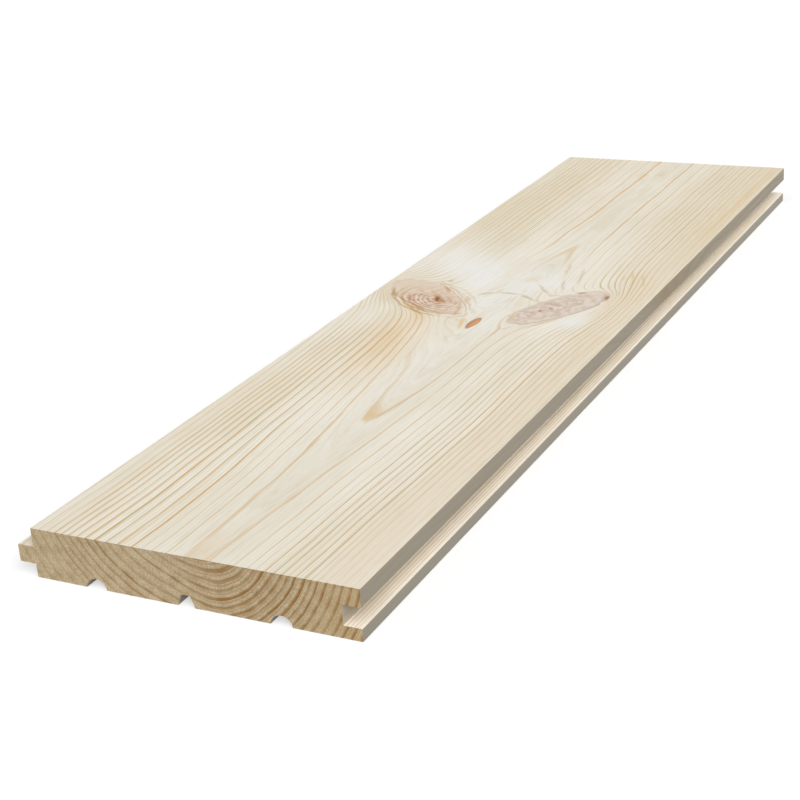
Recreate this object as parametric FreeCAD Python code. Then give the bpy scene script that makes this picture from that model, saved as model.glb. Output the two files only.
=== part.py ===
import FreeCAD
import Part
import math
import os

# Tongue and groove floor board: one planed length of softwood.
# Millimetres. X runs across the board from the tongue to the groove, Y along the grain,
# and Z up from the back to the face. The origin is on the back, in the middle of the outline.

# The planed stock. The face runs from the tongue's shoulder to the edge of the upper lip.
face_width = 138.0
thickness = 20.5
length = 550.0

# The groove in the +X edge, between an upper lip under the face and a lower lip along the back
upper_lip = 7.4
groove_height = 8.0
groove_depth = 7.6
lower_lip_setback = 0.3  # the lower lip stops short, so that a joint closes on the face first

# The tongue on the -X edge enters a groove like the one above
tongue_tip_gap = 0.4
tongue_play_above = 0.3
tongue_play_below = 0.45

# Edges eased by the planer
face_arris = 0.3
back_arris = 0.3
groove_mouth_radius = 0.3
tongue_nose_radius = 0.5

# Relief grooves along the back, which let the board lie flat: a round one at each side and
# one with a flat floor between them
relief_count = 3
relief_from_shoulder = 27.1
relief_from_groove = 24.7
round_relief_radius = 4.5
round_relief_depth = 4.0
flat_relief_mouth = 7.2
flat_relief_floor = 3.6
flat_relief_depth = 4.6

# Cutters run past the wood, so that no skin is left
cutter_overrun = 5.0

# Places that follow from the sizes
tongue_length = groove_depth - tongue_tip_gap
tongue_tip_x = -(face_width + tongue_length) / 2
shoulder_x = tongue_tip_x + tongue_length
upper_edge_x = shoulder_x + face_width
lower_edge_x = upper_edge_x - lower_lip_setback
groove_back_x = upper_edge_x - groove_depth
groove_roof_z = thickness - upper_lip
groove_floor_z = groove_roof_z - groove_height
tongue_top_z = groove_roof_z - tongue_play_above
tongue_under_z = groove_floor_z + tongue_play_below
first_relief_x = shoulder_x + relief_from_shoulder
last_relief_x = groove_back_x - relief_from_groove
relief_pitch = (last_relief_x - first_relief_x) / (relief_count - 1)


def section_point(x, z):
    """A point of the cross section, at the near end of the board."""
    return FreeCAD.Vector(x, -length / 2, z)


def eased_wire(corners):
    """A closed wire through (x, z, radius) corners, with a tangent arc at each that has a radius."""
    points = [section_point(x, z) for x, z, radius in corners]
    arcs = []
    for i, (x, z, radius) in enumerate(corners):
        corner = points[i]
        before = (points[i - 1] - corner).normalize()
        after = (points[(i + 1) % len(points)] - corner).normalize()
        half_angle = before.getAngle(after) / 2
        setback = radius / math.tan(half_angle)
        inward = (before + after).normalize()
        middle = corner + inward * (radius / math.sin(half_angle) - radius)
        arcs.append((corner + before * setback, middle, corner + after * setback, radius))
    edges = []
    for i, (start, middle, end, radius) in enumerate(arcs):
        if radius > 0:
            edges.append(Part.Arc(start, middle, end).toShape())
        next_start = arcs[(i + 1) % len(arcs)][0]
        edges.append(Part.LineSegment(end, next_start).toShape())
    return Part.Wire(edges)


def planed_blank():
    """The board's full section with its tongue and groove, carried along the length."""
    corners = [
        (shoulder_x, 0, back_arris),
        (lower_edge_x, 0, back_arris),
        (lower_edge_x, groove_floor_z, groove_mouth_radius),
        (groove_back_x, groove_floor_z, 0),
        (groove_back_x, groove_roof_z, 0),
        (upper_edge_x, groove_roof_z, groove_mouth_radius),
        (upper_edge_x, thickness, face_arris),
        (shoulder_x, thickness, face_arris),
        (shoulder_x, tongue_top_z, 0),
        (tongue_tip_x, tongue_top_z, tongue_nose_radius),
        (tongue_tip_x, tongue_under_z, tongue_nose_radius),
        (shoulder_x, tongue_under_z, 0),
    ]
    return Part.Face(eased_wire(corners)).extrude(FreeCAD.Vector(0, length, 0))


def round_relief_cutter(x):
    """A bar of the cutter's radius, sunk to the relief's depth under the back."""
    axis_z = round_relief_depth - round_relief_radius
    start = FreeCAD.Vector(x, -length / 2 - cutter_overrun, axis_z)
    run = length + 2 * cutter_overrun
    return Part.makeCylinder(round_relief_radius, run, start, FreeCAD.Vector(0, 1, 0))


def flat_relief_cutter(x):
    """A bar whose sides lean in from the mouth to the floor, carried on below the back."""
    lean = (flat_relief_mouth - flat_relief_floor) / 2 / flat_relief_depth
    half_floor = flat_relief_floor / 2
    half_below = flat_relief_mouth / 2 + lean * cutter_overrun
    y = -length / 2 - cutter_overrun
    outline = [
        FreeCAD.Vector(x - half_below, y, -cutter_overrun),
        FreeCAD.Vector(x + half_below, y, -cutter_overrun),
        FreeCAD.Vector(x + half_floor, y, flat_relief_depth),
        FreeCAD.Vector(x - half_floor, y, flat_relief_depth),
    ]
    face = Part.Face(Part.makePolygon(outline + outline[:1]))
    return face.extrude(FreeCAD.Vector(0, length + 2 * cutter_overrun, 0))


def board():
    """The blank with its relief grooves: round ones outside, flat ones between them."""
    wood = planed_blank()
    for i in range(relief_count):
        x = first_relief_x + i * relief_pitch
        is_outer = i in (0, relief_count - 1)
        cutter = round_relief_cutter(x) if is_outer else flat_relief_cutter(x)
        wood = wood.cut(cutter)
    return wood


os.makedirs("parts", exist_ok=True)
board().exportStep("parts/board.step")
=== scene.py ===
"""The looks of a planed tongue and groove floor board.

The board is one surface: its section carried along the length, with the fine relief of planed softwood, and
its two sawn ends. Its colour comes from one growth ring field, worked out the same way for the shape and for
the materials.
"""

import math

import bpy
import numpy as np
from mathutils import Matrix, Vector
from mathutils.geometry import delaunay_2d_cdt


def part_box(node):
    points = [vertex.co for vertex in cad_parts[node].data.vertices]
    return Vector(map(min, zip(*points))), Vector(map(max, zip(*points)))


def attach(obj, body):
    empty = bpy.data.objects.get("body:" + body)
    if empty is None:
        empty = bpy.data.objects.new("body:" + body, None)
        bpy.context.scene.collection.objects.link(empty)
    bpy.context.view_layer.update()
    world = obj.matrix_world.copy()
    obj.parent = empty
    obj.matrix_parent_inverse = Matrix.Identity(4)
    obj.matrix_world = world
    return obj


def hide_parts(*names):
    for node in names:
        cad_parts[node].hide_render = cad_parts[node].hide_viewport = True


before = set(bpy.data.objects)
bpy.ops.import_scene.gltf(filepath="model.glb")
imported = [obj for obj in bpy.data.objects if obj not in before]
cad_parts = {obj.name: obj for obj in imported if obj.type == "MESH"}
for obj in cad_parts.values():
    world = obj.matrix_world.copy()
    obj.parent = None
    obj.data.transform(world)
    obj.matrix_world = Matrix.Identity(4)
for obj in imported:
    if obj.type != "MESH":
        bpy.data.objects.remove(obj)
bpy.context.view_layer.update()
board_low, board_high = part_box("board")

MM = 0.001

# Section of the board, in millimetres. Its outline and length come from the frame.
TONGUE_LENGTH = 7.2
TONGUE_TOP = 12.8
TONGUE_UNDER = 5.55
TONGUE_NOSE = 0.5
GROOVE_DEPTH = 7.6
GROOVE_ROOF = 13.1
GROOVE_FLOOR = 5.1
LOWER_LIP_SETBACK = 0.3
ARRIS = 0.3
RELIEF_PLACES = (27.1, 66.4, 105.7)
RELIEF_RADIUS = 4.5
RELIEF_DEPTH = 4.0
FLAT_RELIEF_MOUTH = 7.2
FLAT_RELIEF_FLOOR = 3.6
FLAT_RELIEF_DEPTH = 4.6

# Places in the board's own millimetres: x from the tongue's shoulder, y from the near end, z from the back
SHOULDER_X = board_low.x / MM + TONGUE_LENGTH
NEAR_Y = board_low.y / MM
LENGTH = (board_high.y - board_low.y) / MM
FACE_Z = board_high.z / MM
FACE_WIDTH = board_high.x / MM - SHOULDER_X
GROOVE_BACK = FACE_WIDTH - GROOVE_DEPTH
LOWER_EDGE = FACE_WIDTH - LOWER_LIP_SETBACK

# How far the wood lies under its nominal surface, in millimetres: all planed wood, the soft spring wood
# between two winter bands, the check round a knot and its flesh. Then the sawn ends: all over, their rings
# and the saw's marks.
PLANED_DEPTH = 0.02
SPRING_DEPTH = 0.035
KNOT_CHECK_DEPTH = 0.08
KNOT_FLESH_DEPTH = 0.03
SAWN_DEPTH = 0.05
SAWN_RING_DEPTH = 0.03
SAW_MARK_DEPTH = 0.02

# Spacing of the mesh's points, in millimetres: round the section, across the face, inside the sawn ends and
# from their rim. Then the points of an eased edge and of a round relief groove, and the rows along the board.
SECTION_STEP = 1.7
FACE_STEP = 0.62
END_STEP = 1.3
RIM_MARGIN = 0.6
EASED_POINTS = 5
RELIEF_POINTS = 13
KNOTS_START = 236.0
KNOTS_END = 312.0
ROWS_BY_KNOTS = 84
ROWS_ELSEWHERE = 72


class Signal:
    """A value that varies over a surface: the socket of a shader node. Sums and products add Math nodes."""

    def __init__(self, nodes, socket):
        self.nodes = nodes
        self.socket = socket

    def math(self, operation, *others):
        """A Math node on this value and the others, such as a sum."""
        return self.nodes.add("ShaderNodeMath", {"operation": operation}, dict(enumerate((self, *others))))[0]

    def __add__(self, other):
        return self.math("ADD", other)

    def __sub__(self, other):
        return self.math("SUBTRACT", other)

    def __rsub__(self, other):
        return self.nodes.add("ShaderNodeMath", {"operation": "SUBTRACT"}, {0: other, 1: self})[0]

    def __mul__(self, other):
        return self.math("MULTIPLY", other)

    def __truediv__(self, other):
        return self.math("DIVIDE", other)

    def __pow__(self, other):
        return self.math("POWER", other)

    __radd__ = __add__
    __rmul__ = __mul__


class Nodes:
    """The nodes of one material or of the world."""

    def __init__(self, tree):
        self.tree = tree
        self.tree.nodes.clear()

    def add(self, kind, settings=None, inputs=None):
        """Adds a node: its settings first, then a value or a signal for each named or numbered input."""
        made = self.tree.nodes.new(kind)
        for name, value in (settings or {}).items():
            setattr(made, name, value)
        for name, value in (inputs or {}).items():
            if isinstance(value, Signal):
                self.tree.links.new(value.socket, made.inputs[name])
            else:
                made.inputs[name].default_value = value
        return [Signal(self, socket) for socket in made.outputs]

    def vector(self, x, y, z):
        """A place made of three values."""
        return self.add("ShaderNodeCombineXYZ", {}, {0: x, 1: y, 2: z})[0]

    def noise(self, x, y, z, detail=2.0, roughness=0.5):
        """Smooth noise about 0, mostly from -0.3 to 0.3, at a place counted in the noise's own cells."""
        inputs = {"Vector": self.vector(x, y, z), "Scale": 1.0, "Detail": detail, "Roughness": roughness}
        return self.add("ShaderNodeTexNoise", {"noise_dimensions": "3D", "normalize": True}, inputs)[0] - 0.5

    def blend(self, amount, first, second):
        """The first colour where the amount is 0, the second where it is 1."""
        settings = {"data_type": "RGBA", "blend_type": "MIX", "clamp_factor": True}
        return self.add("ShaderNodeMix", settings, {0: amount, 6: first, 7: second})[2]

    def layered(self, ground, *layers):
        """Lays colours over a ground, one after the other. Each layer is its amount and its colour."""
        for amount, shade in layers:
            ground = self.blend(amount, ground, shade)
        return ground

    def stops(self, value, places, pairs):
        """Looks a value up in a row of places, each with its pair of numbers, and blends between them."""
        low, span = places[0], places[-1] - places[0]
        share = (value - low) / span
        made = self.tree.nodes.new("ShaderNodeValToRGB")
        elements = made.color_ramp.elements
        for _ in places[2:]:
            elements.new(0.5)
        for element, place, pair in zip(elements, places, pairs):
            element.position = (place - low) / span
            element.color = (*pair, 0.0, 1.0)
        self.tree.links.new(share.socket, made.inputs[0])
        return self.add("ShaderNodeSeparateColor", {}, {0: Signal(self, made.outputs[0])})[:2]

    def principled(self, colour, roughness, height, relief, specular):
        """Ends a material: its colour and roughness, and a height in millimetres by the relief's share."""
        bump = self.add("ShaderNodeBump", {}, {"Strength": relief, "Distance": MM, "Height": height})[0]
        inputs = {"Base Color": colour, "Roughness": roughness, "Normal": bump}
        inputs["Specular IOR Level"] = specular
        shader = self.add("ShaderNodeBsdfPrincipled", {}, inputs)[0]
        self.add("ShaderNodeOutputMaterial", {}, {"Surface": shader})


def new_material(name):
    """An empty node material, and the nodes to fill it with."""
    material = bpy.data.materials.new(name)
    material.use_nodes = True
    return material, Nodes(material.node_tree)


def either(operation, on_arrays):
    """One function for both uses: a Math node on a signal, numpy on an array."""
    def apply(value, *others):
        if isinstance(value, Signal):
            return value.math(operation, *others)
        return on_arrays(value, *others)
    return apply


sine = either("SINE", np.sin)
root = either("SQRT", np.sqrt)
hyperbolic = either("TANH", np.tanh)
exponential = either("EXPONENT", np.exp)
power = either("POWER", np.power)
larger = either("MAXIMUM", np.maximum)
smaller = either("MINIMUM", np.minimum)
fraction = either("FRACT", lambda value: value - np.floor(value))


def ramp(value, start, end):
    """Rises smoothly from 0 at the start to 1 at the end: 3 t squared less 2 t cubed."""
    if isinstance(value, Signal):
        inputs = {"Value": value, "From Min": start, "From Max": end}
        return value.nodes.add("ShaderNodeMapRange", {"interpolation_type": "SMOOTHSTEP"}, inputs)[0]
    t = np.clip((value - start) / (end - start), 0.0, 1.0)
    return t * t * (3 - 2 * t)


def swell(value, centre, width):
    """A smooth bump of height 1: e to the minus square of the distance from the centre in widths."""
    t = (value - centre) / width
    return exponential(t * t * -1)


def streak(flat, start, end, half_width):
    """A soft streak on the face from one place to another: 1 in its middle, e to the minus 1 at its edge.

    The Mapping node turns and scales the place, so that the streak's edge is a circle of radius 1.
    """
    run_x, run_y = end[0] - start[0], end[1] - start[1]
    middle = ((start[0] + end[0]) / 2, (start[1] + end[1]) / 2, 0.0)
    inputs = {
        "Vector": flat, "Location": middle, "Rotation": (0.0, 0.0, math.atan2(run_y, run_x)),
        "Scale": (math.hypot(run_x, run_y) / 2, half_width, 1.0),
    }
    turned = flat.nodes.add("ShaderNodeMapping", {"vector_type": "TEXTURE"}, inputs)[0]
    distance = flat.nodes.add("ShaderNodeVectorMath", {"operation": "LENGTH"}, {0: turned})[1]
    return exponential(distance * distance * -1)


def colour(red, green, blue):
    """A colour given as it looks on a screen, from 0 to 255, as the shader's linear values."""
    shares = [c / 255 for c in (red, green, blue)]
    linear = [c / 12.92 if c <= 0.04045 else ((c + 0.055) / 1.055) ** 2.4 for c in shares]
    return (*linear, 1.0)


class Knot:
    """A branch grown into the wood, cut across by the face.

    Its centre, long direction and half sizes are on the face. It is broader at its far end by the egg's
    share, and its axis moves by the drift for each millimetre of depth. The rings part at the flow, in
    millimetres across from the pith, and are held off by the hold's share.
    """

    def __init__(self, centre, toward, half_long, half_wide, egg, drift, flow, hold):
        length = math.hypot(*toward)
        self.centre = centre
        self.direction = (toward[0] / length, toward[1] / length)
        self.half_long = half_long
        self.half_wide = half_wide
        self.egg = egg
        self.drift = drift
        self.flow = flow
        self.hold = hold

    def offset(self, x, y, z):
        """How far a point lies from the branch's axis, in millimetres across and along the board."""
        depth = FACE_Z - z
        return x - self.centre[0] - depth * self.drift[0], y - self.centre[1] - depth * self.drift[1]

    def place(self, x, y, z):
        """Where a point lies in the branch, in its half sizes: along, across, and how far from its axis."""
        dx, dy = self.offset(x, y, z)
        along = (dx * self.direction[0] + dy * self.direction[1]) / self.half_long
        breadth = larger(smaller(along, 1.0), -1.0) * self.egg + 1
        across = (dy * self.direction[0] - dx * self.direction[1]) / self.half_wide / breadth
        return along, across, root(along * along + across * across)

    def push(self, from_pith, x, y, z):
        """How far the rings are moved aside at a point, as water is round a stone.

        The push falls with a power of the distance, and reaches further towards the near end of the board.
        """
        dx, dy = self.offset(x, y, z)
        beyond = larger(self.place(x, y, z)[2], 1.0)
        up = ramp(dy, -10.0, 35.0)
        parted = dx * -1 * beyond ** -3.2
        if self.flow is not None:
            fall = ramp(dy, 10.0, -15.0) * 1.5 - 3.0
            parted = parted + (dx - from_pith + self.flow) * power(beyond, fall)
        return parted * (1 - up * 0.62) * self.hold


LEFT_KNOT = Knot((30.5, 277), (-51, 41), 33.0, 12.4, 0.2, (-1.9, 1.5), -8.0, 0.8)
RIGHT_KNOT = Knot((98.6, 278.3), (29, 54), 30.0, 12.0, 0.06, (1.25, 2.3), 8.0, 0.8)
PIN_KNOT = Knot((68.0, 248), (0.6, 14), 8.4, 2.6, 0.0, (0.0, 0.35), None, 1.0)
KNOTS = (LEFT_KNOT, RIGHT_KNOT, PIN_KNOT)
# The rings inside the two larger knots lie round their hearts
LEFT_HEART = Knot((37.0, 273.5), (-51, 41), 21.0, 13.0, 0.1, (-1.9, 1.5), None, 0.0)
RIGHT_HEART = Knot((94.0, 275.0), (32, 52), 22.0, 9.0, 0.0, (1.25, 2.3), None, 0.0)

# The growth rings, in millimetres. The pith runs over the face. It bows to the right in the near half, dips
# towards the face where the branches leave it, and falls a little towards the far end.
PITH_X = 71.0
PITH_OVER_FACE = 22.6
PITH_BOW = 3.0
PITH_DIP = 7.6
PITH_FALL = 2.3
DIP_Y = 258.0
DIP_NEAR = 145.0
DIP_FAR = 108.0
RING_SCALE = 0.1285
RING_POWER = 1.215


def growth(x, y, z):
    """How far out in the stem a point has grown: a power of its distance from the pith, in common rings.

    The rings at the left lean towards the left knot, the knots push them aside, the bark side is a little
    wider, and small waves run along the board.
    """
    away = larger((y - DIP_Y) / DIP_FAR, (y - DIP_Y) / -DIP_NEAR)
    dip = exponential(away * away * -1) * PITH_DIP
    over_face = PITH_OVER_FACE - dip - ramp(y, 300.0, 480.0) * PITH_FALL
    from_pith = x - PITH_X - swell(y, 160.0, 120.0) * PITH_BOW
    lean = ramp(y, 20.0, 220.0) * 6.2 - ramp(y, 250.0, 330.0) * 3.7
    aside = ramp(y, 40.0, 85.0) * ramp(y, 260.0, 215.0) * ramp(x, 50.0, 40.0) * 1.25
    pushed = lean * ramp(x, 5.0, 50.0) * ramp(x, 68.0, 54.0) + from_pith + aside
    for knot in KNOTS:
        pushed = pushed + knot.push(from_pith, x, y, z)
    wave = sine(y / 23.0 + x / 31.0 + 1.1) * 0.22 + sine(y / 9.7 + x / 13.0) * 0.12
    across = pushed * (hyperbolic(pushed / 30.0) * 0.09 + 1) + wave
    height = over_face - z + FACE_Z
    return power(root(across * across + height * height), RING_POWER) * RING_SCALE


# Where each ring ends, as growth, and how dark its winter band is: at the left of the pith, then at the right
RING_ENDS = (
    (3.36, 0.0, 3.36, 0.0),
    (3.58, 0.35, 3.58, 0.5),
    (4.69, 0.35, 4.69, 0.85),
    (5.60, 0.75, 6.00, 0.7),
    (6.40, 0.65, 7.65, 0.7),
    (7.35, 0.55, 8.95, 0.65),
    (8.15, 0.4, 9.95, 0.5),
    (9.10, 1.0, 11.00, 1.0),
    (10.50, 0.55, 12.25, 0.6),
    (11.80, 0.6, 13.30, 0.75),
    (13.10, 0.95, 14.20, 0.5),
    (14.25, 0.8, 15.15, 0.95),
    (15.35, 0.7, 16.50, 0.8),
    (16.45, 0.7, 17.40, 0.55),
    (17.40, 0.7, 18.40, 0.75),
    (18.40, 0.8, 19.70, 0.6),
    (19.50, 0.4, 21.00, 0.4),
    (20.80, 0.4, 22.20, 0.4),
    (22.20, 0.5, 23.60, 0.4),
    (23.60, 0.4, 25.00, 0.5),
    (25.00, 0.5, 26.40, 0.4),
    (26.40, 0.4, 27.80, 0.4),
    (28.00, 0.4, 29.40, 0.4),
    (30.00, 0.4, 31.00, 0.4),
    (34.00, 0.4, 34.00, 0.4),
)


def right_side(x):
    """0 at the left of the pith and 1 at its right, with a smooth change between."""
    return ramp(x, PITH_X - 13.0, PITH_X + 13.0)


def rings(nodes, grown, x):
    """How many rings are complete at a growth, with the part of the next one, and how dark its band is."""
    count = len(RING_ENDS)
    left_ends, left_darks, right_ends, right_darks = zip(*RING_ENDS)
    numbers = [i / count for i in range(count)]
    left = nodes.stops(grown, left_ends, zip(numbers, left_darks))
    right = nodes.stops(grown, right_ends, zip(numbers, right_darks))
    side = right_side(x)
    share = (right[0] - left[0]) * side + left[0]
    return share * count, (right[1] - left[1]) * side + left[1]


def board_place(nodes):
    """The board's own millimetres as three signals."""
    position = nodes.add("ShaderNodeTexCoord")[3]
    x, y, z = nodes.add("ShaderNodeSeparateXYZ", {}, {0: position})
    return x / MM - SHOULDER_X, y / MM - NEAR_Y, z / MM


def winter_band(part, start, full):
    """How dark a ring is at its part: darkens from the start till it is full, then drops at its end."""
    return ramp(part, start, full) * ramp(part, 1.0, 0.96)


class PlanedPlace:
    """A point of the planed faces, as signals: where it is, how far it has grown, and what lies near it."""

    def __init__(self, nodes):
        self.nodes = nodes
        x, y, z = board_place(nodes)
        self.x, self.y, self.z = x, y, z
        self.flat = nodes.vector(x, y, 0.0)
        self.in_knots = [knot.place(x, y, z) for knot in KNOTS]

        # Noises: the wander of the rings, and the ragged, rough and cloudy ones of the knots
        self.wander = nodes.noise(x / 10.0, y / 70.0, z / 10.0)
        self.ragged = nodes.noise(x / 7.0, y / 7.0, z / 7.0, 3.0, 0.6)
        self.rough = nodes.noise(x / 1.5, y / 1.5, z / 1.5, 2.0, 0.6)
        self.cloud = nodes.noise(x / 4.0, y / 5.0, z / 4.0, 3.0, 0.65)

        shiver = nodes.noise(x / 1.8, y / 16.0, z / 1.8)
        self.grown = growth(x, y, z) + self.wander * 0.3 + shiver * 0.12
        self.ring, self.dark = rings(nodes, self.grown, x)
        self.outer = ramp(self.ring, 4.0, 9.0)

        # Parts of the board: soft spots, the crowded rings by the left knot, the strip along the groove, the
        # inside of the lower lip, and the far end
        self.pale = spots(self.flat, PALE_SPOTS)
        self.tan = spots(self.flat, TAN_SPOTS)
        self.crowded = swell(self.in_knots[0][2], 1.2, 0.4) * ramp(y, 300.0, 280.0)
        self.groove_side = ramp(x, 117.0, 124.0)
        self.lip = ramp(z, 6.0, 5.5) * ramp(x, GROOVE_BACK - 0.2, GROOVE_BACK)
        self.far = ramp(y, 320.0, 390.0)

        # How strongly rings show at all
        by_groove = self.groove_side * (ramp(y, 130.0, 30.0) * -0.5 - 0.15) + 1
        self.calm = by_groove * (1 - self.lip)
        self.clear = ramp(self.pale, 0.8, 0.1) * 0.85 + 0.15


def planed_wood():
    """Planed faces: pale softwood with yellow winter bands, fibres, knots and their stained surroundings;
    painted shade darkens the upright edges and painted light whitens the lower lip's top.
    """
    material, nodes = new_material("planed softwood")
    at = PlanedPlace(nodes)
    dark = band_darkness(at)
    start = at.outer * -0.16 - at.tan * 0.28 + 0.80
    full = at.outer * -0.08 + 0.93
    band = winter_band(fraction(at.ring), start, full) * dark
    fibre = fibres(at)

    wood = faint_lines_and_painted_lip_light(at, plain_wood(at), dark)
    wood = nodes.layered(
        wood,
        (band, band_colour(at)),
        (ramp(fibre, 0.0, 0.3) * 0.5, colour(206, 188, 150)),
        (ramp(fibre, 0.0, -0.35) * 0.5, colour(244, 240, 230)),
    )
    in_groove = ramp(at.x, GROOVE_BACK - 1.0, GROOVE_BACK) * ramp(at.z, 15.0, 14.0)
    with_knots = brown_marks(at, pin_knot(at, right_knot(at, left_knot(at, wood))))
    wood = painted_edge_shade_and_knot_brown(at, nodes.blend(in_groove, with_knots, wood))

    roughness = band * -0.08 + 0.52
    height = fibre * 0.03 - band * 0.05
    nodes.principled(wood, roughness, height, 0.5, 0.3)
    return material


def plain_wood(at):
    """The wood between the bands: two creams, greyer under the pith, warmer by the groove and far away."""
    patchy = at.nodes.noise(at.x / 24.0, at.y / 90.0, at.z / 24.0)
    return at.nodes.layered(
        colour(239, 234, 223),
        (ramp(patchy, -0.14, 0.14), colour(232, 225, 209)),
        (swell(at.x, 73.0, 17.0) * 0.55, colour(223, 216, 200)),
        (at.pale, colour(235, 234, 229)),
        (at.tan * 0.8, colour(221, 196, 154)),
        (at.groove_side * 0.7, colour(229, 215, 193)),
        (ramp(at.y, 350.0, 440.0) * 0.22, colour(218, 205, 182)),
        (spots(at.flat, GOLDEN_SPOTS), colour(226, 190, 140)),
    )


def band_darkness(at):
    """How dark the winter bands are: each ring's own darkness times that of its place on the board."""
    vary = at.nodes.noise(at.grown / 0.7, at.y / 130.0, at.z / 60.0, 1.0)
    quiet = streak(at.flat, (4.0, 268.0), (24.0, 226.0), 16.0)
    about = vary * 1.2 - at.crowded * 0.45 + at.tan * 0.8 + 1.3
    dark = power(at.dark, 1.5) * at.calm * band_strength(at) * at.clear * about
    return dark * (1 - quiet * 0.75) * (1 - right_side(at.x) * 0.18)


def band_strength(at):
    """How strong the bands are in the parts of the face: 1, more or less some for each part."""
    beyond_knots = swell(at.y, 345.0, 42.0) * (ramp(at.x, 98.0, 116.0) * 0.35 - 0.55)
    far_left = at.far * ramp(at.x, 60.0, 40.0) * 0.28
    far_middle = at.far * ramp(at.ring, 7.0, 5.0) * 0.4
    between_knots = ramp(at.ring, 4.0, 2.0) * swell(at.y, 310.0, 40.0) * 0.6
    by_right_knot = swell(at.y, 318.0, 26.0) * ramp(at.x, 98.0, 112.0) * 0.6
    near_middle = ramp(at.ring, 4.5, 3.0) * ramp(at.y, 70.0, 15.0) * 0.45
    return beyond_knots - far_left + 1 + far_middle - between_knots + by_right_knot - near_middle


def faint_lines_and_painted_lip_light(at, wood, dark):
    """Faint lines over the wood: before each band, three to a ring, and along the inside of the lower lip. It
    also whitens the lower lip's top as painted light against the shade under the upper lip, less so within 40
    mm of the near end.
    """
    nodes = at.nodes
    before = winter_band(fraction(at.ring), 0.3, 0.95) * dark * at.outer
    between = winter_band(fraction(at.ring * 3.0 + at.wander), 0.35, 0.85) * at.calm * at.clear
    between = between * (at.crowded * 3.0 + at.far * 1.2 + 1)
    along_lip = fraction(at.x / 1.5 + nodes.noise(at.x / 3.0, at.y / 300.0, 0.0) * 1.5)
    lip_lines = winter_band(along_lip, 0.35, 0.9) * at.lip * ramp(at.x, LOWER_EDGE, LOWER_EDGE - 0.8)
    return nodes.layered(
        wood,
        (before * 0.36 + between * (at.outer * 0.32 + 0.1), colour(203, 186, 144)),
        # Painted light: the lower lip's top is whitened to offset the shade under the upper lip, less so near
        # the near end
        (at.lip * (ramp(at.y, 0.0, 40.0) * 0.45 + 0.55), colour(255, 248, 234)),
        (lip_lines * 0.6, colour(216, 184, 140)),
    )


def band_colour(at):
    """The winter bands' colour: olive to orange in turns, paler near the pith, brown by the left knot."""
    tone = at.nodes.noise(at.grown / 0.9 + 7.0, at.y / 80.0, at.z / 60.0, 1.0)
    return at.nodes.layered(
        colour(194, 172, 120),
        (ramp(tone + at.tan * 0.45, -0.12, 0.12), colour(206, 164, 102)),
        (ramp(at.ring, 7.0, 3.0) * 0.7, colour(214, 178, 122)),
        (at.crowded * 0.5, colour(178, 130, 78)),
    )


def fibres(at):
    """Fine fibres, about 0: long ones that follow the rings above the lower lip, and short ones all over."""
    long_ones = at.nodes.noise(at.grown * 9.0, at.y / 30.0, at.z / 4.0, 3.0, 0.65) * ramp(at.z, 5.5, 6.0)
    return long_ones + at.nodes.noise(at.x / 0.45, at.y / 16.0, at.z / 0.45, 2.0, 0.6) * 0.6


# Soft parts of the face in other tones: where each starts and ends, its half width and its strength
PALE_SPOTS = (
    ((41.0, 300.0), (30.0, 346.0), 14.0, 0.9),
    ((12.0, 306.0), (12.0, 370.0), 16.0, 0.6),
    ((72.0, 285.0), (73.0, 322.0), 9.0, 0.8),
    ((54.0, 262.0), (66.0, 290.0), 8.0, 0.8),
    ((50.0, 290.0), (46.0, 330.0), 8.0, 0.7),
    ((76.0, 232.0), (74.0, 268.0), 7.0, 0.6),
    ((62.0, 300.0), (67.0, 340.0), 4.0, 0.5),
    ((82.0, 300.0), (78.0, 340.0), 4.0, 0.5),
    ((111.0, 250.0), (115.0, 274.0), 7.0, 0.8),
    ((93.0, 302.0), (87.0, 320.0), 8.0, 0.7),
    ((72.0, 150.0), (68.0, 240.0), 9.0, 0.15),
)
TAN_SPOTS = (
    ((44.0, 175.0), (34.0, 256.0), 11.0, 0.9),
    ((71.0, 126.0), (71.5, 149.0), 3.2, 0.32),
    ((73.5, 0.0), (73.0, 24.0), 3.2, 0.22),
    ((69.5, 310.0), (70.5, 319.0), 4.5, 0.4),
    ((46.0, 240.0), (24.0, 268.0), 4.0, 0.4),
)
GOLDEN_SPOTS = (
    ((130.0, 185.0), (133.0, 265.0), 1.6, 0.3),
    ((132.0, 400.0), (133.0, 545.0), 1.7, 0.75),
    ((73.0, 362.0), (73.0, 376.0), 1.8, 0.4),
    ((8.0, 330.0), (4.0, 420.0), 2.0, 0.25),
)


def spots(flat, places):
    """The sum of some soft spots, each by its strength."""
    return sum(streak(flat, start, end, half_width) * strength for start, end, half_width, strength in places)


def painted_edge_shade_and_knot_brown(at, wood):
    """The upright edges: painted shade darkens them towards grey-brown. It is weaker on the groove's back
    wall and a little stronger on the lower lip's side. By a knot the darkening takes the knot's real brown
    stain.
    """
    normal = at.nodes.add("ShaderNodeTexCoord")[1]
    across = at.nodes.add("ShaderNodeSeparateXYZ", {}, {0: normal})[0]
    in_groove = ramp(at.x, GROOVE_BACK - 1.0, GROOVE_BACK - 0.2)
    in_groove = in_groove * ramp(at.x, GROOVE_BACK + 2.0, GROOVE_BACK + 1.0)
    # Painted shade: faces whose normal runs along x are darkened in their colour, standing in for their
    # shading.
    painted_shade = ramp(across * across, 0.5, 0.9) * (1 - in_groove * 0.2)
    by_knot = swell(at.y, 335.0, 38.0) * ramp(at.x, FACE_WIDTH - 1.0, FACE_WIDTH) * ramp(at.z, 8.0, 12.0)
    shade = at.nodes.blend(by_knot, colour(134, 126, 109), colour(126, 106, 74))
    return at.nodes.blend(painted_shade * (ramp(at.z, 6.0, 5.0) * 0.06 + 0.78), wood, shade)


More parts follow.
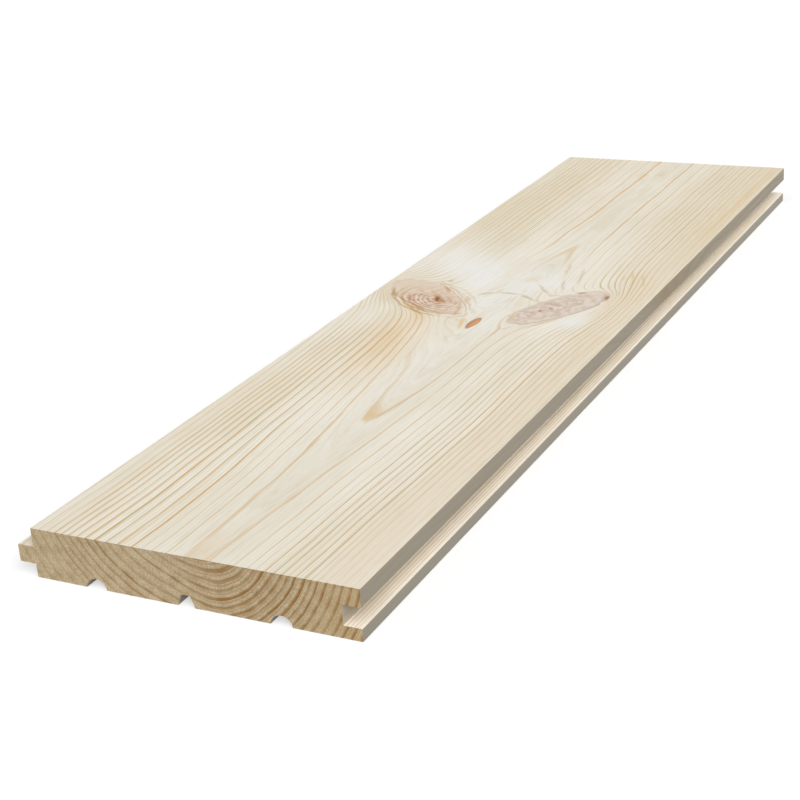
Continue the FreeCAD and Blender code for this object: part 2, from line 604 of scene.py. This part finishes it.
# Brown marks on and about the knots, given in the same way, with the colour of each
MARKS = (
    ((49.5, 284.0), (53.5, 271.5), 1.2, 0.55, (214, 182, 138)),
    ((24.0, 268.0), (40.0, 255.5), 1.0, 0.8, (172, 130, 86)),
    ((19.5, 278.0), (25.0, 267.0), 1.0, 0.9, (168, 124, 80)),
    ((22.0, 266.0), (40.0, 250.5), 0.9, 0.9, (190, 152, 98)),
    ((31.5, 294.5), (38.5, 285.5), 1.1, 0.8, (190, 142, 98)),
    ((40.0, 281.0), (45.0, 271.5), 1.0, 0.6, (194, 156, 132)),
    ((7.0, 286.0), (13.5, 271.0), 1.2, 0.9, (176, 140, 86)),
    ((51.5, 269.0), (55.0, 254.5), 1.0, 0.65, (202, 156, 108)),
    ((35.0, 266.5), (39.0, 262.5), 1.3, 0.6, (186, 144, 112)),
    ((30.0, 303.0), (33.0, 301.0), 1.2, 0.7, (196, 166, 130)),
    ((32.0, 282.0), (40.5, 269.0), 2.6, 0.95, (192, 142, 92)),
    ((34.0, 279.0), (38.8, 271.0), 1.3, 1.0, (128, 78, 34)),
    ((37.0, 276.5), (42.8, 269.8), 1.3, 0.9, (170, 124, 76)),
    ((35.0, 277.0), (37.0, 273.0), 0.8, 0.6, (104, 58, 24)),
    ((91.2, 273.5), (93.5, 271.0), 0.9, 0.9, (160, 114, 82)),
    ((94.5, 278.5), (97.5, 274.5), 1.0, 0.8, (182, 148, 124)),
    ((93.0, 283.0), (100.0, 281.0), 1.6, 0.75, (196, 170, 152)),
    ((100.0, 300.0), (104.5, 303.5), 1.4, 0.95, (180, 146, 120)),
    ((87.0, 294.8), (92.0, 294.0), 1.2, 0.6, (206, 186, 152)),
    ((80.3, 271.0), (84.8, 253.0), 0.8, 0.6, (218, 188, 144)),
    ((88.0, 249.0), (83.0, 241.5), 0.8, 0.5, (204, 184, 164)),
    ((115.7, 302.0), (117.3, 294.5), 0.9, 1.0, (166, 112, 62)),
    ((60.2, 254.0), (64.5, 237.0), 1.1, 0.9, (224, 190, 138)),
    ((67.8, 243.0), (67.4, 239.0), 0.7, 0.7, (180, 144, 116)),
    ((90.0, 282.0), (95.0, 284.5), 1.0, 0.6, (190, 166, 150)),
    ((95.0, 285.5), (103.0, 290.5), 0.9, 0.5, (194, 172, 156)),
    ((53.0, 286.0), (60.5, 291.8), 1.2, 1.0, (204, 194, 164)),
    ((60.0, 291.8), (74.0, 292.4), 1.2, 0.95, (206, 196, 168)),
    ((74.0, 292.4), (84.5, 284.5), 1.3, 1.0, (204, 192, 162)),
    ((76.0, 309.5), (88.0, 294.0), 0.9, 0.8, (204, 188, 158)),
    ((92.0, 301.0), (86.0, 320.0), 0.8, 0.7, (206, 188, 160)),
    ((85.0, 322.0), (79.5, 348.0), 0.9, 0.75, (212, 196, 160)),
    ((96.0, 312.0), (90.0, 338.0), 0.9, 0.75, (210, 194, 160)),
    ((93.0, 246.0), (107.0, 268.0), 0.9, 0.6, (192, 168, 122)),
    ((112.3, 334.0), (115.5, 324.0), 0.8, 0.7, (226, 190, 146)),
    ((115.6, 340.0), (119.3, 327.0), 0.8, 0.7, (214, 186, 140)),
    ((121.3, 338.0), (128.3, 318.0), 0.8, 0.7, (206, 186, 134)),
    ((117.0, 318.0), (122.5, 315.0), 1.5, 0.5, (226, 203, 186)),
    ((118.0, 310.0), (121.0, 302.0), 0.8, 0.6, (212, 202, 156)),
)


def left_knot(at, wood):
    """The left knot over the wood: pale flesh, its heart's rings, a brown rim, and folds on its far side."""
    along, across, distance = at.in_knots[0]
    edge = distance + at.ragged * 0.25
    heart = LEFT_HEART.place(at.x, at.y, at.z)[2] + at.ragged * 0.25
    tip = ramp(along, 0.1, 0.6)
    side = (ramp(across, -0.5, 0.5) * 0.7 + 0.3) * (ramp(along, -0.9, -0.6) * 0.7 + 0.3) * (1 - tip * 0.5)
    lines = winter_band(fraction(heart * 6.0), 0.3, 0.8) * ramp(heart, 1.15, 0.7) * side
    rim = swell(edge, 0.96, 0.05) * (1 - tip * 0.6)
    round_heart = swell(heart, 1.13, 0.05) + swell(heart, 1.34, 0.05)
    folds = swell(distance + at.ragged * 0.2, 1.08, 0.035) + swell(edge, 1.24, 0.04) * 0.8
    folds = folds * ramp(across, -0.1, -0.6) * ramp(along, 0.7, 0.4) * ramp(along, -1.0, -0.7)
    return at.nodes.layered(
        knot_flesh(at, wood, edge, (1.05, 0.85), (226, 208, 190), (210, 186, 162)),
        (ramp(edge, 1.05, 0.85) * tip * 0.75, colour(220, 205, 181)),
        (lines * (at.cloud * 2.5 + 0.7), colour(170, 122, 84)),
        ((rim + round_heart) * side * 0.8, colour(180, 141, 92)),
        (folds * (at.cloud * 2.0 + 0.9) * 0.75, colour(196, 158, 116)),
    )


def right_knot(at, wood):
    """The right knot over the wood: pink flesh, its heart's rings, and a rim that is darker on its right."""
    _, across, distance = at.in_knots[1]
    edge = distance + at.ragged * 0.35
    heart = RIGHT_HEART.place(at.x, at.y, at.z)[2] + at.ragged * 0.4
    lines = winter_band(fraction(heart * 5.0), 0.35, 0.85) * ramp(heart, 1.1, 0.9) * (at.cloud * 2.0 + 0.5)
    rim = swell(edge, 0.97, 0.05) * (ramp(across, 0.1, -0.6) * 0.45 + 0.25)
    flesh = knot_flesh(at, wood, edge, (1.12, 0.8), (223, 209, 196), (205, 187, 170))
    return at.nodes.blend(lines * 0.75 + rim, flesh, colour(184, 158, 138))


def pin_knot(at, wood):
    """The small brown knot over the wood: two browns across it, and a darker edge."""
    _, across, distance = at.in_knots[2]
    brown = at.nodes.layered(
        colour(184, 130, 82),
        (ramp(across, 0.6, -0.7), colour(210, 158, 104)),
        (ramp(distance, 0.5, 0.95) * 0.7, colour(160, 104, 62)),
    )
    return at.nodes.blend(ramp(distance + at.ragged * 0.3, 1.0, 0.78), wood, brown)


def brown_marks(at, wood):
    """The brown marks over the wood, with wobbly edges. They are shallow, so they don't show on the back."""
    nodes = at.nodes
    shallow = ramp(at.z, FACE_Z - 3.0, FACE_Z - 1.0)
    wobbly = nodes.vector(at.x + at.ragged * 3.0 + at.rough * 1.2, at.y + at.rough * 2.0, 0.0)
    for start, end, half_width, strength, shade in MARKS:
        mark = streak(wobbly, start, end, half_width * 1.15) * shallow + at.rough * 0.5
        wood = nodes.blend(ramp(mark, 0.15, 0.95) * strength, wood, colour(*shade))
    return wood


def knot_flesh(at, wood, distance, edge, light, deep):
    """Lays a knot's flesh over the wood in two cloudy shades, between the distances of its soft edge."""
    flesh = at.nodes.blend(ramp(at.cloud, -0.15, 0.15), colour(*light), colour(*deep))
    return at.nodes.blend(ramp(distance, *edge), wood, flesh)


def sawn_end():
    """Sawn ends: darker end grain with brown winter bands and the saw's marks."""
    material, nodes = new_material("sawn end grain")
    x, y, z = board_place(nodes)
    wander = nodes.noise(x / 12.0, y / 60.0, z / 12.0)
    shiver = nodes.noise(x / 2.5, y / 9.0, z / 2.5)
    grown = growth(x, y, z) + wander * 0.5 + shiver * 0.12
    ring, dark = rings(nodes, grown, x)
    grit = nodes.noise(x / 0.7, y / 4.0, z / 0.9, 3.0, 0.7)
    mottle = nodes.noise(x / 5.0, y / 9.0, z / 5.0)
    right = ramp(x, 56.0, 86.0)
    outer = ramp(x, 98.0, 122.0)
    darkness = dark * dark * 1.1 + outer * 0.2 + ramp(x, 120.0, 132.0) * 0.25 + 0.15
    band = winter_band(fraction(ring), 0.5, 0.9) * darkness * (right * 0.38 + 0.65) * (mottle * 1.5 + 1)
    fine = winter_band(fraction(ring * 2.0 + 0.45), 0.4, 0.9) * right * (0.6 - outer * 0.45)
    wood = nodes.layered(
        colour(202, 185, 153),
        (ramp(grit + mottle * 0.4, -0.22, 0.22), colour(167, 146, 111)),
        (ramp(x, 108.0, 132.0) * 0.3, colour(186, 156, 106)),
        (band * 0.98 + fine * 0.8, colour(146, 108, 60)),
    )
    saw = nodes.noise(x / 0.5, 0.0, z / 30.0)
    height = grit * 0.08 + saw * 0.05 - band * 0.05
    nodes.principled(wood, grit * 0.1 + 0.8, height, 0.6, 0.2)
    return material


def arc(centre_x, centre_z, radius, start, end, count):
    """Points on a round arc, from one angle to the other, in degrees."""
    turn = np.radians(np.linspace(start, end, count))
    return np.stack([centre_x + radius * np.cos(turn), centre_z + radius * np.sin(turn)], axis=1)


def eased(corner_x, corner_z, radius, start):
    """A quarter round on a corner: its arc begins at the start angle and turns left."""
    inward = math.radians(start + 45.0 + 180.0)
    centre_x = corner_x + radius * math.copysign(1.0, math.cos(inward))
    centre_z = corner_z + radius * math.copysign(1.0, math.sin(inward))
    return arc(centre_x, centre_z, radius, start, start + 90.0, EASED_POINTS)


def round_relief(place):
    """The arc of a round relief groove, from its left mouth to its right one."""
    centre_z = RELIEF_DEPTH - RELIEF_RADIUS
    mouth = math.degrees(math.asin(-centre_z / RELIEF_RADIUS))
    return arc(place, centre_z, RELIEF_RADIUS, 180.0 - mouth, mouth, RELIEF_POINTS)


def flat_relief(place):
    """The corners of the relief groove with a flat floor, from left to right."""
    mouth = FLAT_RELIEF_MOUTH / 2
    floor = FLAT_RELIEF_FLOOR / 2
    depth = FLAT_RELIEF_DEPTH
    return np.array([[place - mouth, 0], [place - floor, depth], [place + floor, depth], [place + mouth, 0]])


def section_corners():
    """The section's outline, once round from the tongue's shoulder along the back: arcs and corners."""
    return np.concatenate([
        eased(0.0, 0.0, ARRIS, 180.0),
        round_relief(RELIEF_PLACES[0]),
        flat_relief(RELIEF_PLACES[1]),
        round_relief(RELIEF_PLACES[2]),
        eased(LOWER_EDGE, 0.0, ARRIS, 270.0),
        eased(LOWER_EDGE, GROOVE_FLOOR, ARRIS, 0.0),
        [[GROOVE_BACK, GROOVE_FLOOR], [GROOVE_BACK, GROOVE_ROOF]],
        eased(FACE_WIDTH, GROOVE_ROOF, ARRIS, 270.0),
        eased(FACE_WIDTH, FACE_Z, ARRIS, 0.0),
        eased(0.0, FACE_Z, ARRIS, 90.0),
        [[0.0, TONGUE_TOP]],
        eased(-TONGUE_LENGTH, TONGUE_TOP, TONGUE_NOSE, 90.0),
        eased(-TONGUE_LENGTH, TONGUE_UNDER, TONGUE_NOSE, 180.0),
        [[0.0, TONGUE_UNDER]],
    ])


def divided(corners):
    """A closed outline with its long runs cut evenly, into finer steps on the face than elsewhere."""
    points = []
    for start, end in zip(corners, np.roll(corners, -1, axis=0)):
        on_face = min(start[1], end[1]) > FACE_Z - 0.01
        step = FACE_STEP if on_face else SECTION_STEP
        count = max(1, round(float(np.hypot(*(end - start))) / step))
        shares = np.arange(count)[:, None] / count
        points.append(start + (end - start) * shares)
    return np.concatenate(points)


def stations():
    """Places along the length, closer together across the knots."""
    return np.concatenate([
        np.linspace(0.0, KNOTS_START, ROWS_ELSEWHERE)[:-1],
        np.linspace(KNOTS_START, KNOTS_END, ROWS_BY_KNOTS)[:-1],
        np.linspace(KNOTS_END, LENGTH, ROWS_ELSEWHERE),
    ])


def outward(outline):
    """The outline's outward directions: the mean of each point's two runs, turned right."""
    ahead = np.roll(outline, -1, axis=0) - outline
    ahead /= np.hypot(*ahead.T)[:, None]
    mean = ahead + np.roll(ahead, 1, axis=0)
    mean /= np.hypot(*mean.T)[:, None]
    return np.stack([mean[:, 1], -mean[:, 0]], axis=1)


def rings_complete(grown, x):
    """The number of complete rings at a growth, as in the material."""
    left, _, right, _ = np.array(RING_ENDS).T
    count = np.arange(len(RING_ENDS))
    side = right_side(x)
    return np.interp(grown, left, count) * (1 - side) + np.interp(grown, right, count) * side


def surface_depth(x, y, z):
    """How far the planed surface lies under its nominal place.

    Spring wood rises and falls as the cosine of the rings that are complete. A knot's check is a swell at its
    edge, and its flesh falls smoothly towards its middle.
    """
    spring = 0.5 - 0.5 * np.cos(2 * math.pi * rings_complete(growth(x, y, z), x))
    depth = PLANED_DEPTH + SPRING_DEPTH * spring
    for knot in (LEFT_KNOT, RIGHT_KNOT):
        distance = knot.place(x, y, z)[2]
        depth = depth + KNOT_CHECK_DEPTH * swell(distance, 1.0, 0.08)
        depth = depth + KNOT_FLESH_DEPTH * (1 - ramp(distance, 0.2, 1.0))
    return depth


def board_mesh():
    """The board: the outline carried along the stations, sunk by the surface's depth, with its two ends."""
    outline = divided(section_corners())
    along = stations()
    rows, columns = len(along), len(outline)
    x = np.broadcast_to(outline[:, 0], (rows, columns))
    z = np.broadcast_to(outline[:, 1], (rows, columns))
    y = np.broadcast_to(along[:, None], (rows, columns))
    depth = surface_depth(x, y, z)
    facing = outward(outline)
    sides = np.stack([x - facing[:, 0] * depth, y, z - facing[:, 1] * depth], axis=-1)

    index = np.arange(rows * columns).reshape(rows, columns)
    after = np.roll(index, -1, axis=1)
    quads = np.stack([index[:-1], index[1:], after[1:], after[:-1]], axis=-1).reshape(-1, 4)

    near_points, near_faces = end_cap(sides[0], 0)
    far_points, far_faces = end_cap(sides[-1], 1)
    first_inner = rows * columns
    near_index = np.concatenate([index[0], first_inner + np.arange(len(near_points))])
    far_index = np.concatenate([index[-1], first_inner + len(near_points) + np.arange(len(far_points))])
    triangles = np.concatenate([near_index[near_faces], far_index[far_faces]])

    points = np.concatenate([sides.reshape(-1, 3), near_points, far_points])
    points = (points + (SHOULDER_X, NEAR_Y, 0.0)) * MM
    mesh = bpy.data.meshes.new("board_wood")
    mesh.from_pydata(points.tolist(), [], quads.tolist() + triangles.tolist())
    is_end = np.arange(len(mesh.polygons)) >= len(quads)
    mesh.polygons.foreach_set("material_index", is_end.astype(np.int32))
    mesh.polygons.foreach_set("use_smooth", np.ones(len(mesh.polygons), bool))
    sharp_from = math.radians(32.0)
    mesh.set_sharp_from_angle(angle=sharp_from)
    return mesh


def end_cap(rim, far):
    """A sawn end: a net of triangles over the rim with a grid of inner points, sunk a little by the saw.

    Its depth adds a cosine of the rings that are complete, and for the saw's marks a sine of the height that
    leans a little. Returns the inner points, and faces that count the rim's points first, then the inner.
    """
    rim_plan = rim[:, [0, 2]]
    columns = np.arange(-TONGUE_LENGTH + RIM_MARGIN, FACE_WIDTH, END_STEP)
    levels = np.arange(RIM_MARGIN, FACE_Z, END_STEP)
    grid = np.stack(np.meshgrid(columns, levels), axis=-1).reshape(-1, 2)
    grid = grid[within(grid, rim_plan) & (nearest(grid, rim_plan) > RIM_MARGIN)]
    x, z = grid.T

    around = np.arange(len(rim))
    rim_edges = np.stack([around, np.roll(around, -1)], axis=1).tolist()
    plan = [Vector(point) for point in np.concatenate([rim_plan, grid]).tolist()]
    _, _, triangles, origins, _, _ = delaunay_2d_cdt(plan, rim_edges, [], 1, 1e-7)
    first_origin = np.array([origin[0] for origin in origins])
    faces = first_origin[np.array(triangles)]

    end_y = LENGTH if far else 0.0
    ring = rings_complete(growth(x, np.full(len(x), end_y), z), x)
    saw_marks = np.sin(z * 2.3 + x * 0.11)
    sink = SAWN_DEPTH + SAWN_RING_DEPTH * np.cos(2 * math.pi * ring) + SAW_MARK_DEPTH * saw_marks
    inner_y = end_y - sink if far else sink
    inner = np.stack([x, inner_y, z], axis=1)
    return inner, (faces[:, ::-1] if far else faces)


def within(points, outline):
    """Whether each point is inside the outline: it crosses the outline an odd number of times going right."""
    start, end = outline[None], np.roll(outline, -1, axis=0)[None]
    x, z = points[:, None, 0], points[:, None, 1]
    spans = (start[..., 1] > z) != (end[..., 1] > z)
    rise = np.where(spans, end[..., 1] - start[..., 1], 1.0)
    crossing = start[..., 0] + (z - start[..., 1]) / rise * (end[..., 0] - start[..., 0])
    return (spans & (crossing > x)).sum(axis=1) % 2 == 1


def nearest(points, outline):
    """Each point's distance to the outline's nearest point."""
    return np.hypot(*(points[:, None] - outline[None]).transpose(2, 0, 1)).min(axis=1)


def board():
    """The one piece: it stands for the frame's solid."""
    piece = bpy.data.objects.new("board_wood", board_mesh())
    bpy.context.scene.collection.objects.link(piece)
    piece.data.materials.append(planed_wood())
    piece.data.materials.append(sawn_end())
    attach(piece, "root")
    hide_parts("board")
    return piece


def seen_directly(nodes):
    """1 for what the camera sees, also in gloss and through glass, and 0 for light on the board."""
    rays = nodes.add("ShaderNodeLightPath")
    return larger(larger(rays[0], rays[3]), rays[6])


def floor():
    """A plain pale floor. The camera and reflections see it white, and it throws less light at the board."""
    reach = 6.0
    under = -0.0002
    mesh = bpy.data.meshes.new("floor")
    corners = [(-reach, -reach, under), (reach, -reach, under), (reach, reach, under), (-reach, reach, under)]
    mesh.from_pydata(corners, [], [(0, 1, 2, 3)])
    piece = bpy.data.objects.new("floor", mesh)
    bpy.context.scene.collection.objects.link(piece)
    material, nodes = new_material("pale floor")
    grey = nodes.add("ShaderNodeBsdfDiffuse", {}, {"Color": (0.18, 0.175, 0.17, 1.0)})[0]
    white = nodes.add("ShaderNodeBsdfDiffuse", {}, {"Color": (0.52, 0.52, 0.52, 1.0)})[0]
    glow = nodes.add("ShaderNodeEmission", {}, {"Color": (1.0, 1.0, 1.0, 1.0), "Strength": 0.52})[0]
    lit = nodes.add("ShaderNodeAddShader", {}, {0: white, 1: glow})[0]
    shader = nodes.add("ShaderNodeMixShader", {}, {0: seen_directly(nodes), 1: grey, 2: lit})[0]
    nodes.add("ShaderNodeOutputMaterial", {}, {"Surface": shader})
    piece.data.materials.append(material)


def surroundings():
    """Soft even light from all round, which shows white behind the board."""
    world = bpy.data.worlds.new("studio")
    bpy.context.scene.world = world
    world.use_nodes = True
    nodes = Nodes(world.node_tree)
    dim = nodes.add("ShaderNodeBackground", {}, {"Color": (1.0, 1.0, 1.0, 1.0), "Strength": 0.2})[0]
    white = nodes.add("ShaderNodeBackground", {}, {"Color": (1.0, 1.0, 1.0, 1.0), "Strength": 1.0})[0]
    shader = nodes.add("ShaderNodeMixShader", {}, {0: seen_directly(nodes), 1: dim, 2: white})[0]
    nodes.add("ShaderNodeOutputWorld", {}, {"Surface": shader})


def broad_lamp(name, toward, level):
    """A broad soft lamp far off. Its level is the light that it adds to a level surface: 1 shows white."""
    lamp = bpy.data.lights.new(name, "SUN")
    direction = Vector(toward).normalized()
    lamp.energy = level * math.pi / direction.z
    lamp.angle = math.radians(40.0)
    holder = bpy.data.objects.new(name, lamp)
    holder.rotation_euler = direction.to_track_quat("Z", "Y").to_euler()
    bpy.context.scene.collection.objects.link(holder)


def camera():
    """The photograph's view: aimed at the near half of the board, a little rolled."""
    aim = Vector((0.0, -0.10128, 0.01025))
    distance = 0.727
    azimuth, elevation, roll = (math.radians(a) for a in (28.17, 22.32, -4.251))
    flat = math.cos(elevation)
    back = Vector((math.sin(azimuth) * flat, -math.cos(azimuth) * flat, math.sin(elevation)))
    lens = bpy.data.cameras.new("camera")
    lens.sensor_width = 36.0
    lens.lens = 74.394
    holder = bpy.data.objects.new("camera", lens)
    bpy.context.scene.collection.objects.link(holder)
    turn = back.to_track_quat("Z", "Y").to_matrix().to_4x4() @ Matrix.Rotation(roll, 4, "Z")
    holder.matrix_world = Matrix.Translation(aim + back * distance) @ turn
    bpy.context.scene.camera = holder


board()
floor()
surroundings()
broad_lamp("lamp in front", (-0.2, -0.6, 0.77), 0.15)
broad_lamp("low lamp", (0.42, -0.62, 0.40), 0.3)
broad_lamp("lamp at the right", (0.56, -0.36, 0.75), 0.33)
camera()
bpy.context.scene.view_settings.view_transform = "Standard"
